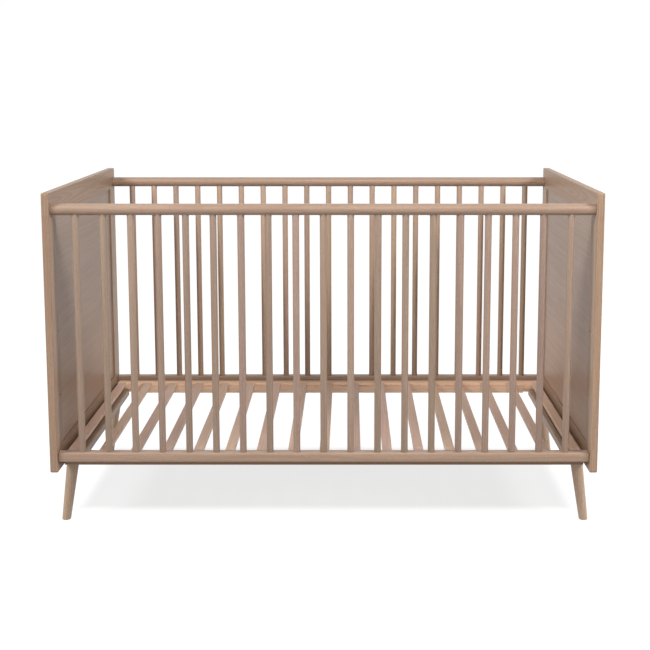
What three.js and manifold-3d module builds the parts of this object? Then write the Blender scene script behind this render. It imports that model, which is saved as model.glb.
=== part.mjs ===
// Baby crib: two framed end panels, two spindle sides, four splayed turned legs and a
// slatted mattress base that is set at one of three heights.
//
// Millimetres, +Z up. +X runs along the crib and the front side is at -Y.
// The origin is on the floor, at the middle of the footprint.

import * as THREE from 'three';
import { mergeVertices } from 'three/addons/utils/BufferGeometryUtils.js';
import Module from 'manifold-3d';

const manifold = await Module();
manifold.setup();

// ---------------------------------------------------------------- driving dimensions

const JOINT_GAP = 0.3; // clearance between two pieces that meet face to face
const CUT_OVERRUN = 5; // how far a cutting tool runs past the face it enters

// End frames
const END_SPACING = 1408; // clear length between the end frames
const END_DEPTH = 780; // front edge to rear edge
const END_THICKNESS = 20;
const END_TOP = 920; // top edge above the floor
const END_BOTTOM = 175; // bottom edge above the floor
const END_CORNER_RADIUS = 5;
const END_EDGE_EASE = 2;
const END_RAIL_HEIGHT = 63;
const STILE_WIDTH = 65;
const INSET_THICKNESS = 10;
const TONGUE_DEPTH = 8; // reach of the stile tongues and the inset panel into the grooves
const TONGUE_SHOULDER = 18; // solid wood between a groove's end and the frame's outer edge

// Spindle sides
const SIDE_SETBACK = 20; // rail axis behind the end frame's front or rear edge
const TOP_RAIL_DIAMETER = 30;
const TOP_RAIL_DROP = 44; // rail axis below the end frame's top edge
const TOP_RAIL_END_ROUND = 4;
const BOTTOM_RAIL_WIDTH = 28;
const BOTTOM_RAIL_HEIGHT = 25;
const BOTTOM_RAIL_CORNER = 6;
const BOTTOM_RAIL_END_ROUND = 4;
const BOTTOM_RAIL_RISE = 40; // rail axis above the end frame's bottom edge
const SPINDLE_COUNT = 19;
const SPINDLE_DIAMETER = 18;
const SPINDLE_SOCKET_DEPTH = 14;

// Connector bolts through the end frames into the side rails and the mattress base
const BOLT_HOLE_DIAMETER = 7;
const BOLT_BORE_DEPTH = 42;

// Leg boards, flat against the inner faces of the end frames, and legs
const LEG_BOARD_WIDTH = 46;
const LEG_BOARD_THICKNESS = 20;
const LEG_BOARD_CORNER = 6;
const LEG_BOARD_EASE = 1.5;
const LEG_BOARD_END_GAP = 3; // board end to base rail
const LEG_TOP_DIAMETER = 34;
const LEG_FOOT_DIAMETER = 24;
const LEG_SPLAY = 8; // degrees outwards, along the crib
const LEG_END_DISTANCE = 47; // leg axis from the leg board's end
const LEG_SIDE_DISTANCE = 12.2; // leg axis from the leg board's outer edge
const LEG_SPIGOT_DIAMETER = 16;
const LEG_SPIGOT_LENGTH = 14;

// Screws through the end frames into the edges of the leg boards
const SCREW_COUNT = 4;
const SCREW_SPACING = 130;
const SCREW_HOLE_DIAMETER = 5;
const PILOT_HOLE_DIAMETER = 3.5;
const PILOT_HOLE_DEPTH = 16;

// Mattress base, at its lowest setting
const BASE_TOP = 214.5; // top of the base rails above the floor
const BASE_END_GAP = 9; // base to end frame
const BASE_SIDE_GAP = 4; // base to bottom side rail
const BASE_RAIL_THICKNESS = 27;
const BASE_RAIL_HEIGHT = 31.5;
const BASE_RAIL_EASE = 2.5;
const SLAT_COUNT = 17; // with the two that close the ends of the base frame
const SLAT_WIDTH = 26;
const SLAT_THICKNESS = 10;
const SLAT_EASE = 1.5;
const SLAT_DROP = 1; // slat top below the top of the base rails
const SLAT_HOUSING = 1.5; // how deep a slat is let into the ledgers
const END_SLAT_TENON = 8; // how far an end slat enters the base rails
const LEDGER_WIDTH = 10;
const LEDGER_OVERRUN = 30; // ledger end past the last slat on it

// Height settings of the mattress base
const BASE_SETTINGS = 3;
const BASE_STEP = 174;

// Facets
const ROUND_FACETS = 24;
const SPINDLE_FACETS = 14;
const HOLE_FACETS = 12;
const SCREW_FACETS = 8;
const ROUND_STEPS = 2; // steps in the quarter circle of a rounded edge
const SLIGHT_STEPS = 1; // the same for the slight easing of the base timbers

// ---------------------------------------------------------------- derived places

const END_FACE_X = END_SPACING / 2; // inner face of an end frame
const END_MIDDLE_X = END_FACE_X + END_THICKNESS / 2;
const SIDE_Y = END_DEPTH / 2 - SIDE_SETBACK;
const TOP_RAIL_Z = END_TOP - TOP_RAIL_DROP;
const BOTTOM_RAIL_Z = END_BOTTOM + BOTTOM_RAIL_RISE;
const SIDE_RAIL_LENGTH = END_SPACING - 2 * JOINT_GAP;
const SPINDLE_PITCH = (END_SPACING + SPINDLE_DIAMETER) / (SPINDLE_COUNT + 1);

const OPENING_TOP = END_TOP - END_RAIL_HEIGHT; // of an end frame, between its rails
const OPENING_BOTTOM = END_BOTTOM + END_RAIL_HEIGHT;
const STILE_INNER_Y = END_DEPTH / 2 - STILE_WIDTH;
const GROOVE_DEPTH = TONGUE_DEPTH + JOINT_GAP;
const GROOVE_WIDTH = INSET_THICKNESS + 2 * JOINT_GAP;
const GROOVE_END_Y = END_DEPTH / 2 - TONGUE_SHOULDER;

const BASE_HALF_LENGTH = END_FACE_X - BASE_END_GAP;
const BASE_HALF_WIDTH = SIDE_Y - BOTTOM_RAIL_WIDTH / 2 - BASE_SIDE_GAP;
const BASE_RAIL_Y = BASE_HALF_WIDTH - BASE_RAIL_THICKNESS / 2;
const BASE_RAIL_Z = BASE_TOP - BASE_RAIL_HEIGHT / 2;
const BASE_INNER_Y = BASE_HALF_WIDTH - BASE_RAIL_THICKNESS;
const SLAT_TOP = BASE_TOP - SLAT_DROP;
const SLAT_BOTTOM = SLAT_TOP - SLAT_THICKNESS;
const END_SLAT_X = BASE_HALF_LENGTH - SLAT_WIDTH / 2;
const SLAT_PITCH = (2 * END_SLAT_X) / (SLAT_COUNT - 1);

const LEG_BOARD_BOTTOM = END_BOTTOM;
const LEG_BOARD_OUTER_X = END_FACE_X - JOINT_GAP;
const LEG_BOARD_LENGTH = 2 * (BASE_INNER_Y - LEG_BOARD_END_GAP);
const LEG_X = LEG_BOARD_OUTER_X - LEG_SIDE_DISTANCE; // leg axis where it meets the board
const LEG_Y = LEG_BOARD_LENGTH / 2 - LEG_END_DISTANCE;
const SCREW_Z = LEG_BOARD_BOTTOM + LEG_BOARD_THICKNESS / 2;

// ---------------------------------------------------------------- materials

const wood = (color, roughness) => new THREE.MeshStandardMaterial({ color, roughness, metalness: 0 });
const FINISH = {
  frame: wood('#b1957d', 0.55),
  inset: wood('#99897f', 0.6),
  round: wood('#ab9078', 0.5),
  leg: wood('#a48b78', 0.5),
  base: wood('#a8886f', 0.65),
};

// ---------------------------------------------------------------- solids

/** Makes a closed geometry into a solid that can be joined and cut. */
function toSolid(geometry) {
  const bare = geometry.clone();
  bare.deleteAttribute('normal');
  bare.deleteAttribute('uv');
  const welded = mergeVertices(bare, 1e-4);
  return new manifold.Manifold(new manifold.Mesh({
    numProp: 3,
    vertProperties: new Float32Array(welded.attributes.position.array),
    triVerts: new Uint32Array(welded.index.array),
  }));
}

/** Makes a solid back into a geometry. */
function toGeometry(solid) {
  const mesh = solid.getMesh();
  const geometry = new THREE.BufferGeometry();
  geometry.setAttribute('position', new THREE.BufferAttribute(mesh.vertProperties, 3));
  geometry.setIndex(new THREE.BufferAttribute(mesh.triVerts, 1));
  geometry.computeVertexNormals();
  return geometry;
}

/** A block between two corners. */
function block([x0, y0, z0], [x1, y1, z1]) {
  const geometry = new THREE.BoxGeometry(x1 - x0, y1 - y0, z1 - z0);
  geometry.translate((x0 + x1) / 2, (y0 + y1) / 2, (z0 + z1) / 2);
  return geometry;
}

/** A rod along an axis ('x', 'y' or 'z') that starts at a point. */
function rod(axis, [x, y, z], length, diameter, facets) {
  const geometry = new THREE.CylinderGeometry(diameter / 2, diameter / 2, length, facets);
  geometry.translate(0, length / 2, 0);
  if (axis === 'x') geometry.rotateZ(-Math.PI / 2);
  if (axis === 'z') geometry.rotateX(Math.PI / 2);
  return geometry.translate(x, y, z);
}

/** A rectangle with rounded corners, centred on the origin. */
function roundedRectangle(width, height, radius) {
  const x = width / 2;
  const y = height / 2;
  const shape = new THREE.Shape();
  shape.moveTo(x, -y + radius);
  shape.lineTo(x, y - radius);
  shape.absarc(x - radius, y - radius, radius, 0, Math.PI / 2);
  shape.lineTo(-x + radius, y);
  shape.absarc(-x + radius, y - radius, radius, Math.PI / 2, Math.PI);
  shape.lineTo(-x, -y + radius);
  shape.absarc(-x + radius, -y + radius, radius, Math.PI, 1.5 * Math.PI);
  shape.lineTo(x - radius, -y);
  shape.absarc(x - radius, -y + radius, radius, 1.5 * Math.PI, 2 * Math.PI);
  return shape;
}

/** A shape extruded about the origin, with its two end faces eased by a small radius. */
function prism(shape, length, { ease = 0, steps = ROUND_STEPS } = {}) {
  const geometry = new THREE.ExtrudeGeometry(shape, {
    depth: length - 2 * ease,
    curveSegments: steps,
    bevelEnabled: ease > 0,
    bevelThickness: ease,
    bevelSize: ease,
    bevelOffset: -ease,
    bevelSegments: steps,
  });
  return geometry.translate(0, 0, ease - length / 2);
}

/** A bar along X with a rounded rectangular section: its width is along Y, its height along Z. */
function barAlongX(length, width, height, radius, options) {
  return prism(roundedRectangle(height, width, radius), length, options).rotateY(Math.PI / 2);
}

/** A bar along Y with a rounded rectangular section: its width is along X, its height along Z. */
function barAlongY(length, width, height, radius, options) {
  return prism(roundedRectangle(width, height, radius), length, options).rotateX(Math.PI / 2);
}

const crib = new THREE.Group();

/** Adds a named piece of the crib. */
function addPiece(name, geometry, material, parent = crib) {
  const mesh = new THREE.Mesh(geometry, material);
  mesh.name = name;
  parent.add(mesh);
  return mesh;
}

// ---------------------------------------------------------------- end frames

/** A clear hole through the frame's thickness. */
function throughHole(y, z, diameter, facets) {
  const length = END_THICKNESS + 2 * CUT_OVERRUN;
  return toSolid(rod('x', [-length / 2, y, z], length, diameter, facets));
}

/** Where the leg board's screws stand across the crib. */
function screwPlaces() {
  return Array.from({ length: SCREW_COUNT }, (_, i) => (i - (SCREW_COUNT - 1) / 2) * SCREW_SPACING);
}

/** The whole end frame's outline as one eased slab, from which its members are cut. It has the
 *  bolt holes of the side rails, those of each height setting of the mattress base, and the
 *  screw holes of the leg board. */
function endSlab() {
  const height = END_TOP - END_BOTTOM;
  const bar = barAlongX(END_THICKNESS, END_DEPTH, height, END_CORNER_RADIUS, { ease: END_EDGE_EASE });
  let slab = toSolid(bar.translate(0, 0, (END_TOP + END_BOTTOM) / 2));
  for (const front of [-1, 1]) {
    const bolts = [[SIDE_Y, TOP_RAIL_Z], [SIDE_Y, BOTTOM_RAIL_Z]];
    for (let setting = 0; setting < BASE_SETTINGS; setting += 1) {
      bolts.push([BASE_RAIL_Y, BASE_RAIL_Z + setting * BASE_STEP]);
    }
    for (const [y, z] of bolts) {
      slab = slab.subtract(throughHole(front * y, z, BOLT_HOLE_DIAMETER, HOLE_FACETS));
    }
  }
  for (const y of screwPlaces()) {
    slab = slab.subtract(throughHole(y, SCREW_Z, SCREW_HOLE_DIAMETER, SCREW_FACETS));
  }
  return slab;
}

/** The part of the slab between two corners given in depth and height. */
function endMember(slab, [y0, z0], [y1, z1]) {
  const x = END_THICKNESS / 2 + CUT_OVERRUN;
  return slab.intersect(toSolid(block([-x, y0, z0], [x, y1, z1])));
}

/** A groove in the middle of the frame's thickness, between two corners in depth and height. */
function groove([y0, z0], [y1, z1]) {
  return toSolid(block([-GROOVE_WIDTH / 2, y0, z0], [GROOVE_WIDTH / 2, y1, z1]));
}

/** The top or bottom rail: it runs the full depth and is grooved along its inner edge. */
function endRail(slab, isTop) {
  const y = END_DEPTH / 2 + CUT_OVERRUN;
  const outerZ = isTop ? END_TOP + CUT_OVERRUN : END_BOTTOM - CUT_OVERRUN;
  const innerZ = isTop ? OPENING_TOP : OPENING_BOTTOM;
  const grooveZ = isTop ? OPENING_TOP + GROOVE_DEPTH : OPENING_BOTTOM - GROOVE_DEPTH;
  const mouthZ = isTop ? OPENING_TOP - CUT_OVERRUN : OPENING_BOTTOM + CUT_OVERRUN;
  const rail = endMember(slab, [-y, Math.min(outerZ, innerZ)], [y, Math.max(outerZ, innerZ)]);
  return toGeometry(rail.subtract(groove(
    [-GROOVE_END_Y - JOINT_GAP, Math.min(grooveZ, mouthZ)],
    [GROOVE_END_Y + JOINT_GAP, Math.max(grooveZ, mouthZ)],
  )));
}

/** A stile: it stands between the rails on tongues and is grooved for the inset panel. */
function endStile(slab, front) {
  const bottomZ = OPENING_BOTTOM + JOINT_GAP;
  const topZ = OPENING_TOP - JOINT_GAP;
  const outerY = END_DEPTH / 2 + CUT_OVERRUN;
  const span = (a, b) => [Math.min(front * a, front * b), Math.max(front * a, front * b)];

  const [bodyY0, bodyY1] = span(STILE_INNER_Y, outerY);
  const body = endMember(slab, [bodyY0, bottomZ], [bodyY1, topZ]);

  const [tongueY0, tongueY1] = span(STILE_INNER_Y, GROOVE_END_Y);
  const stile = body.add(toSolid(block(
    [-INSET_THICKNESS / 2, tongueY0, OPENING_BOTTOM - TONGUE_DEPTH],
    [INSET_THICKNESS / 2, tongueY1, OPENING_TOP + TONGUE_DEPTH],
  )));

  const [grooveY0, grooveY1] = span(STILE_INNER_Y - CUT_OVERRUN, STILE_INNER_Y + GROOVE_DEPTH);
  return toGeometry(stile.subtract(groove([grooveY0, END_BOTTOM], [grooveY1, END_TOP])));
}

/** The inset panel, held in the grooves of the rails and stiles. */
function insetPanel() {
  const y = STILE_INNER_Y + TONGUE_DEPTH;
  const x = INSET_THICKNESS / 2;
  return block([-x, -y, OPENING_BOTTOM - TONGUE_DEPTH], [x, y, OPENING_TOP + TONGUE_DEPTH]);
}

/** One end frame. side is -1 at the left and 1 at the right. */
function addEndFrame(side, label) {
  const frame = new THREE.Group();
  frame.position.x = side * END_MIDDLE_X;
  const slab = endSlab();
  addPiece(`${label}_end_top_rail`, endRail(slab, true), FINISH.frame, frame);
  addPiece(`${label}_end_bottom_rail`, endRail(slab, false), FINISH.frame, frame);
  addPiece(`${label}_end_front_stile`, endStile(slab, -1), FINISH.frame, frame);
  addPiece(`${label}_end_rear_stile`, endStile(slab, 1), FINISH.frame, frame);
  addPiece(`${label}_end_inset_panel`, insetPanel(), FINISH.inset, frame);
  crib.add(frame);
}

// ---------------------------------------------------------------- spindle sides

/** Where the spindles stand along a side. */
function spindlePlaces() {
  return Array.from({ length: SPINDLE_COUNT }, (_, i) => (i - (SPINDLE_COUNT - 1) / 2) * SPINDLE_PITCH);
}

/** Cuts a bolt bore into each end of a rail of a given length that lies along X through the
 *  origin. */
function boreEnds(rail, railLength) {
  const length = BOLT_BORE_DEPTH + CUT_OVERRUN;
  let bored = rail;
  for (const x of [-railLength / 2 - CUT_OVERRUN, railLength / 2 - BOLT_BORE_DEPTH]) {
    bored = bored.subtract(toSolid(rod('x', [x, 0, 0], length, BOLT_HOLE_DIAMETER, HOLE_FACETS)));
  }
  return bored;
}

/** Drills the spindle sockets into a rail from a face towards its axis. */
function drillSockets(rail, faceZ, towards) {
  const bottomZ = towards < 0 ? faceZ - SPINDLE_SOCKET_DEPTH : faceZ - CUT_OVERRUN;
  const length = SPINDLE_SOCKET_DEPTH + CUT_OVERRUN;
  const diameter = SPINDLE_DIAMETER + 2 * JOINT_GAP;
  let drilled = rail;
  for (const x of spindlePlaces()) {
    drilled = drilled.subtract(toSolid(rod('z', [x, 0, bottomZ], length, diameter, SPINDLE_FACETS)));
  }
  return drilled;
}

/** The round top rail, turned with softly rounded ends. */
function topRail() {
  const radius = TOP_RAIL_DIAMETER / 2;
  const half = SIDE_RAIL_LENGTH / 2;
  const inset = radius - TOP_RAIL_END_ROUND;
  const outline = new THREE.Path();
  outline.moveTo(0, -half);
  outline.lineTo(inset, -half);
  outline.absarc(inset, -half + TOP_RAIL_END_ROUND, TOP_RAIL_END_ROUND, -Math.PI / 2, 0);
  outline.absarc(inset, half - TOP_RAIL_END_ROUND, TOP_RAIL_END_ROUND, 0, Math.PI / 2);
  outline.lineTo(0, half);
  const profile = outline.getPoints(ROUND_STEPS / 2); // each arc takes two points for one here
  const turned = new THREE.LatheGeometry(profile, ROUND_FACETS).rotateZ(-Math.PI / 2);
  return toGeometry(drillSockets(boreEnds(toSolid(turned), SIDE_RAIL_LENGTH), -radius, 1));
}

/** The bottom rail, rectangular with rounded edges. */
function bottomRail() {
  const [width, height] = [BOTTOM_RAIL_WIDTH, BOTTOM_RAIL_HEIGHT];
  const options = { ease: BOTTOM_RAIL_END_ROUND };
  const bar = barAlongX(SIDE_RAIL_LENGTH, width, height, BOTTOM_RAIL_CORNER, options);
  return toGeometry(drillSockets(boreEnds(toSolid(bar), SIDE_RAIL_LENGTH), height / 2, -1));
}

/** One spindle side. front is -1 at the front and 1 at the rear. */
function addSpindleSide(front, label) {
  const side = new THREE.Group();
  side.position.y = front * SIDE_Y;
  addPiece(`${label}_top_rail`, topRail(), FINISH.round, side).position.z = TOP_RAIL_Z;
  addPiece(`${label}_bottom_rail`, bottomRail(), FINISH.round, side).position.z = BOTTOM_RAIL_Z;

  const footZ = BOTTOM_RAIL_Z + BOTTOM_RAIL_HEIGHT / 2 - SPINDLE_SOCKET_DEPTH + JOINT_GAP;
  const headZ = TOP_RAIL_Z - TOP_RAIL_DIAMETER / 2 + SPINDLE_SOCKET_DEPTH - JOINT_GAP;
  spindlePlaces().forEach((x, i) => {
    const spindle = rod('z', [0, 0, 0], headZ - footZ, SPINDLE_DIAMETER, SPINDLE_FACETS);
    const number = String(i + 1).padStart(2, '0');
    addPiece(`${label}_spindle_${number}`, spindle, FINISH.round, side).position.set(x, 0, footZ);
  });
  crib.add(side);
}

// ---------------------------------------------------------------- leg boards and legs

/** A round bar on the leg's axis. The axis passes through the origin and leans outwards as it
 *  goes down; heights along it are counted from there, positive upwards. */
function onLegAxis(topRadius, bottomRadius, from, to, facets) {
  const geometry = new THREE.CylinderGeometry(topRadius, bottomRadius, to - from, facets);
  geometry.translate(0, (from + to) / 2, 0);
  geometry.rotateX(Math.PI / 2);
  return geometry.rotateY(THREE.MathUtils.degToRad(-LEG_SPLAY));
}

/** A tapered leg at the right-hand end, cut level at the floor and under the board and the end
 *  frame, with a spigot on its axis. The origin is where its axis meets the board's underside. */
function leg() {
  const slant = LEG_BOARD_BOTTOM / Math.cos(THREE.MathUtils.degToRad(LEG_SPLAY));
  const taper = (LEG_TOP_DIAMETER - LEG_FOOT_DIAMETER) / 2 / slant;
  const spare = LEG_TOP_DIAMETER / 2;
  const cone = onLegAxis(
    LEG_TOP_DIAMETER / 2 + taper * spare,
    LEG_FOOT_DIAMETER / 2 - taper * spare,
    -slant - spare,
    spare,
    ROUND_FACETS,
  );
  const reach = LEG_BOARD_BOTTOM;
  const level = block([-reach, -reach, -LEG_BOARD_BOTTOM], [reach, reach, -JOINT_GAP]);
  const radius = LEG_SPIGOT_DIAMETER / 2;
  const spigot = onLegAxis(radius, radius, -radius, LEG_SPIGOT_LENGTH, HOLE_FACETS);
  return toGeometry(toSolid(cone).intersect(toSolid(level)).add(toSolid(spigot)));
}

/** The leg board at the right-hand end, with a socket for each leg's spigot and a pilot hole in
 *  its outer edge for each screw. The origin is in the middle of its underside, at the leg axes. */
function legBoard() {
  const outline = roundedRectangle(LEG_BOARD_WIDTH, LEG_BOARD_LENGTH, LEG_BOARD_CORNER);
  const bar = prism(outline, LEG_BOARD_THICKNESS, { ease: LEG_BOARD_EASE, steps: SLIGHT_STEPS });
  bar.translate(LEG_SIDE_DISTANCE - LEG_BOARD_WIDTH / 2, 0, LEG_BOARD_THICKNESS / 2);
  const radius = LEG_SPIGOT_DIAMETER / 2 + JOINT_GAP;
  const depth = LEG_SPIGOT_LENGTH + JOINT_GAP;
  let board = toSolid(bar);
  for (const y of [-LEG_Y, LEG_Y]) {
    const socket = onLegAxis(radius, radius, -radius - CUT_OVERRUN, depth, HOLE_FACETS);
    board = board.subtract(toSolid(socket.translate(0, y, 0)));
  }
  const length = PILOT_HOLE_DEPTH + CUT_OVERRUN;
  for (const y of screwPlaces()) {
    const start = [LEG_SIDE_DISTANCE - PILOT_HOLE_DEPTH, y, SCREW_Z - LEG_BOARD_BOTTOM];
    board = board.subtract(toSolid(rod('x', start, length, PILOT_HOLE_DIAMETER, SCREW_FACETS)));
  }
  return toGeometry(board);
}

/** The leg board and its two legs at one end. side is -1 at the left and 1 at the right. */
function addLegs(side, label) {
  const end = new THREE.Group();
  end.position.set(side * LEG_X, 0, LEG_BOARD_BOTTOM);
  end.rotation.z = side > 0 ? 0 : Math.PI;
  addPiece(`${label}_leg_board`, legBoard(), FINISH.frame, end);
  addPiece(`front_${label}_leg`, leg(), FINISH.leg, end).position.y = side * -LEG_Y;
  addPiece(`rear_${label}_leg`, leg(), FINISH.leg, end).position.y = side * LEG_Y;
  crib.add(end);
}

// ---------------------------------------------------------------- mattress base

/** A long rail of the base, bored at its ends for the bolts. front is -1 or 1. */
function baseRail(front) {
  const length = 2 * BASE_HALF_LENGTH;
  const options = { steps: SLIGHT_STEPS };
  const bar = barAlongX(length, BASE_RAIL_THICKNESS, BASE_RAIL_HEIGHT, BASE_RAIL_EASE, options);
  return boreEnds(toSolid(bar), length).translate(0, front * BASE_RAIL_Y, BASE_RAIL_Z);
}

/** A slat of a given length across the crib. */
function slat(x, length) {
  const bar = barAlongY(length, SLAT_WIDTH, SLAT_THICKNESS, SLAT_EASE, { steps: SLIGHT_STEPS });
  return toSolid(bar.translate(x, 0, SLAT_TOP - SLAT_THICKNESS / 2));
}

/** The base frame: two long rails, closed at the ends by the first and the last slat. */
function baseFrame() {
  const length = 2 * (BASE_INNER_Y + END_SLAT_TENON);
  let frame = baseRail(-1).add(baseRail(1));
  for (const side of [-1, 1]) frame = frame.add(slat(side * END_SLAT_X, length));
  return toGeometry(frame);
}

/** The slat deck: the slats between the two end slats, let into two ledgers that lie along the
 *  base rails. */
function slatDeck() {
  const outerY = BASE_INNER_Y - JOINT_GAP;
  const lastSlatX = END_SLAT_X - SLAT_PITCH;
  const ledgerX = lastSlatX + SLAT_WIDTH / 2 + LEDGER_OVERRUN;
  const ledgerTop = SLAT_BOTTOM + SLAT_HOUSING;
  const ledgerBottom = BASE_TOP - BASE_RAIL_HEIGHT;
  const ledger = (y) => toSolid(block([-ledgerX, y, ledgerBottom], [ledgerX, y + LEDGER_WIDTH, ledgerTop]));
  let deck = ledger(-outerY).add(ledger(outerY - LEDGER_WIDTH));
  for (let i = 1; i < SLAT_COUNT - 1; i += 1) {
    deck = deck.add(slat(-END_SLAT_X + i * SLAT_PITCH, 2 * outerY));
  }
  return toGeometry(deck);
}

// ---------------------------------------------------------------- assembly

addEndFrame(-1, 'left');
addEndFrame(1, 'right');
addSpindleSide(-1, 'front');
addSpindleSide(1, 'rear');
addLegs(-1, 'left');
addLegs(1, 'right');
addPiece('base_frame', baseFrame(), FINISH.base);
addPiece('slat_deck', slatDeck(), FINISH.base);

export default crib;
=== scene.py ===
"""Studio scene of a baby crib in pale oak.

The crib has two framed end panels, two spindle sides, four splayed turned legs and a slatted
mattress base that is bolted at one of three heights. Lengths are in metres, +Z is up, +X runs
along the crib and the front side is at -Y.
"""

import logging
import math
from dataclasses import dataclass
from enum import Enum
from functools import cache, reduce
from typing import Callable, Iterable, Optional

import bmesh
import bpy
from mathutils import Matrix, Vector


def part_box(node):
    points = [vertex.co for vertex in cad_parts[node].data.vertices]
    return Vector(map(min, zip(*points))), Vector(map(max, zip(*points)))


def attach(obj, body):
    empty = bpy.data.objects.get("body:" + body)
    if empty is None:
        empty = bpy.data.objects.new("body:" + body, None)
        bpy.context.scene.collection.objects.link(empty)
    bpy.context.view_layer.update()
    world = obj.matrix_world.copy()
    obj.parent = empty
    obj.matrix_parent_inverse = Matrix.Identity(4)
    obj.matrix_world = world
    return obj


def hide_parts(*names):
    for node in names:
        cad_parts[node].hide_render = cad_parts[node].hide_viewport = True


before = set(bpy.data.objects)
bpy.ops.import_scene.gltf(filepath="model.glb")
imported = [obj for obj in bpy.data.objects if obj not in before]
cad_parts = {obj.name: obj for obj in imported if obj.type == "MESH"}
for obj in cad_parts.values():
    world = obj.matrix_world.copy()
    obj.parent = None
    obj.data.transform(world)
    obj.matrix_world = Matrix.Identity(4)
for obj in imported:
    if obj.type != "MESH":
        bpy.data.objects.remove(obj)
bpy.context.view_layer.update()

log = logging.getLogger("crib")

MM = 0.001
JOINT_GAP = 0.3 * MM  # clearance between pieces that meet face to face
MERGE = 0.001 * MM  # vertices nearer than this are one
IN_PLANE = 0.05 * MM  # how near to a plane a vertex has to be to lie in it
SMOOTH_ANGLE = math.radians(35)  # edges flatter than this are shaded smooth
CRIB = "crib_frame"
BASE = "mattress_base"

Mesh = bmesh.types.BMesh
Edge = bmesh.types.BMEdge
Material = bpy.types.Material
Node = bpy.types.Node
Socket = bpy.types.NodeSocket
Colour = tuple[float, float, float, float]
Span = tuple[float, float]

WHOLE: Span = (0.0, 1.0)
WHITE: Colour = (1.0, 1.0, 1.0, 1.0)


# ---------------------------------------------------------------- names and choices


class Grain(Enum):
    """The way the fibres of a board run."""

    LENGTHWISE = "X"
    CROSSWISE = "Y"
    UPRIGHT = "Z"

    def turn(self) -> Matrix:
        """Works out how a board is laid with its fibres along +X.

        Returns:
            The rotation.
        """
        if self is Grain.CROSSWISE:
            return Matrix.Rotation(math.radians(-90), 3, "Z")
        if self is Grain.UPRIGHT:
            return Matrix.Rotation(math.radians(90), 3, "Y")
        return Matrix.Identity(3)


class Labelled(Enum):
    """A choice whose name goes into the names of its pieces."""

    @property
    def label(self) -> str:
        """The word that the names of its pieces hold."""
        return self.name.lower()


class End(Labelled):
    """The two ends of the crib."""

    LEFT = -1
    RIGHT = 1

    def outward(self) -> Matrix:
        """Returns the turn that points +Z away from the crib, past this end."""
        return Matrix.Rotation(math.radians(90 * self.value), 4, "Y")

    def outer_face(self, node: str) -> float:
        """Returns where a node ends, along the crib, on the side that looks out past this end."""
        low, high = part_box(node)
        return low.x if self is End.LEFT else high.x


class Side(Labelled):
    """The two long sides of the crib."""

    FRONT = -1
    REAR = 1


# ---------------------------------------------------------------- small helpers


def srgb(code: str) -> Colour:
    """Turns a colour code into linear light.

    Args:
        code: six hexadecimal digits, red first.

    Returns:
        The linear red, green, blue and an alpha of 1.
    """
    channels = [int(code[i:i + 2], 16) / 255 for i in (0, 2, 4)]
    linear = [c / 12.92 if c <= 0.04045 else ((c + 0.055) / 1.055) ** 2.4 for c in channels]
    return (linear[0], linear[1], linear[2], 1.0)


def grey(level: float) -> Colour:
    """Returns the grey of a linear level."""
    return (level, level, level, 1.0)


def centre_of(node: str) -> Vector:
    """Returns the middle of a frame node's box."""
    low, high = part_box(node)
    return (low + high) / 2


def size_of(node: str) -> Vector:
    """Returns the size of a frame node's box."""
    low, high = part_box(node)
    return high - low


def show(name: str, data: bpy.types.ID) -> bpy.types.Object:
    """Adds an object to the scene.

    Args:
        name: its name.
        data: its mesh, light or camera.

    Returns:
        The new object.
    """
    item = bpy.data.objects.new(name, data)
    bpy.context.scene.collection.objects.link(item)
    return item


@dataclass(frozen=True)
class Rounding:
    """A rounded edge.

    Attributes:
        radius: of its quarter circle.
        steps: faces round the quarter circle.
    """

    radius: float
    steps: int

    def on(self, mesh: Mesh, edges: Iterable[Edge]) -> None:
        """Rounds the given edges of a shape."""
        bmesh.ops.bevel(
            mesh, geom=list(edges), offset=self.radius, offset_type="OFFSET", segments=self.steps,
            profile=0.5, affect="EDGES", clamp_overlap=True, material=-1,
        )


def edges_at_ends(mesh: Mesh, axis: int, reach: float) -> list[Edge]:
    """Finds the edges that bound the two flat ends of a centred shape.

    Args:
        mesh: the shape, with its length along one axis and its middle at the origin.
        axis: 0, 1 or 2, for X, Y or Z.
        reach: half its length.

    Returns:
        Every edge that lies in one of the end planes.
    """
    return [
        edge for edge in mesh.edges
        if all(abs(abs(vert.co[axis]) - reach) < IN_PLANE for vert in edge.verts)
    ]


def edges_in(geometry: Iterable[object]) -> list[Edge]:
    """Returns the edges among the pieces of geometry that an operator gives back."""
    return [item for item in geometry if isinstance(item, Edge)]


def level_ring(mesh: Mesh, facets: int, radius: float, height: float) -> list[Edge]:
    """Draws a level circle round the Z axis.

    Args:
        mesh: the shape that it is added to.
        facets: its edges.
        radius: its radius.
        height: where it lies.

    Returns:
        Its edges.
    """
    ring = bmesh.ops.create_circle(mesh, segments=facets, radius=radius)["verts"]
    bmesh.ops.translate(mesh, verts=ring, vec=(0, 0, height))
    mesh.edges.index_update()
    return sorted({edge for vert in ring for edge in vert.link_edges}, key=lambda edge: edge.index)


def turned_bar(diameter: float, length: float, ends: Rounding, facets: int) -> Mesh:
    """Makes a round bar with rounded ends, along Z about the origin.

    Args:
        diameter: its thickness.
        length: from end to end.
        ends: how its ends are rounded.
        facets: faces round the bar.

    Returns:
        The new shape.
    """
    mesh = bmesh.new()
    bmesh.ops.create_cone(
        mesh, cap_ends=True, segments=facets, radius1=diameter / 2, radius2=diameter / 2, depth=length,
    )
    ends.on(mesh, edges_at_ends(mesh, 2, length / 2))
    return mesh


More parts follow.
